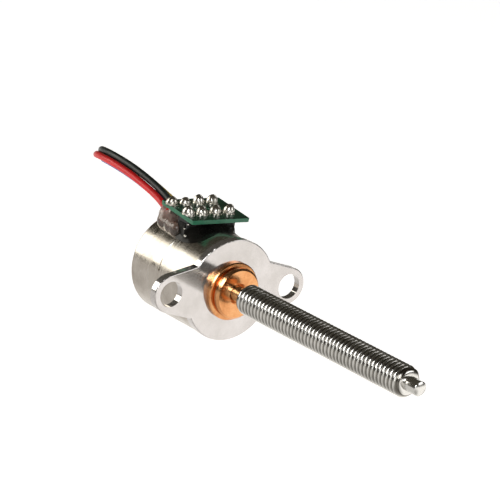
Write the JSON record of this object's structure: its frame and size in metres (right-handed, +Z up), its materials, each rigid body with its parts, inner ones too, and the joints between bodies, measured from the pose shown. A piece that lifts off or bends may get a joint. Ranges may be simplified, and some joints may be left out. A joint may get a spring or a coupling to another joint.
{
  "type": "stepper motor with lead screw",
  "caption": "Micro permanent-magnet stepper motor with a two-eared mounting plate and an M3 lead screw as its shaft, for short linear drives.",
  "frame": {"origin": "centre of the mounting plate's front face, on the screw's axis", "axes": "+X along the screw away from the motor, +Z up through the circuit board, +-Y towards the plate's ears"},
  "size_m": [0.0646, 0.02, 0.0128],
  "materials": {
    "plate_steel": "satin nickel plate",
    "can_steel": "bright nickel plate",
    "bronze": "sintered, turned",
    "screw_steel": "rolled thread, bright",
    "yoke_steel": "stamped",
    "block_plastic": "moulded",
    "pin_metal": "tinned",
    "board": "green solder mask",
    "solder": "bright solder",
    "tinned_copper": "tinned",
    "bobbin_plastic": "moulded",
    "winding": "enamelled wire",
    "magnet": "moulded ferrite",
    "hub_plastic": "moulded",
    "washer_plastic": "punched",
    "black_epoxy": "cured, glossy",
    "clear_glue": "translucent, soft gloss",
    "wire_red": "extruded",
    "wire_black": "extruded",
    "wire_blue": "extruded",
    "wire_yellow": "extruded"
  },
  "bodies": {
    "stator": {"flange_plate": "plate_steel", "front_cup": "can_steel", "rear_cup": "can_steel", "rear_cap": "can_steel", "front_bushing": "bronze", "rear_bearing": "bronze", "front_inner_yoke": "yoke_steel", "rear_inner_yoke": "yoke_steel", "preload_spring": "yoke_steel", "terminal_block": "block_plastic", "terminal_pins": "pin_metal", "circuit_board": "board", "pin_joints": "solder", "wire_joints": "solder", "wire_cores": "tinned_copper", "bare_tips": "tinned_copper", "front_bobbin": "bobbin_plastic", "rear_bobbin": "bobbin_plastic", "front_coil": "winding", "rear_coil": "winding", "block_sealant": "black_epoxy", "wire_sealant": "clear_glue", "lead_red": "wire_red", "lead_black": "wire_black", "lead_blue": "wire_blue", "lead_yellow": "wire_yellow"},
    "rotor": {"lead_screw": "screw_steel", "rotor_hub": "hub_plastic", "rotor_magnet": "magnet", "front_thrust_washer": "washer_plastic", "rear_thrust_washer": "washer_plastic"}
  },
  "joints": [
    {"name": "screw_spin", "type": "hinge", "parent": "stator", "child": "rotor", "pos_m": [0, 0, 0], "axis": [1, 0, 0], "continuous": true}
  ]
}
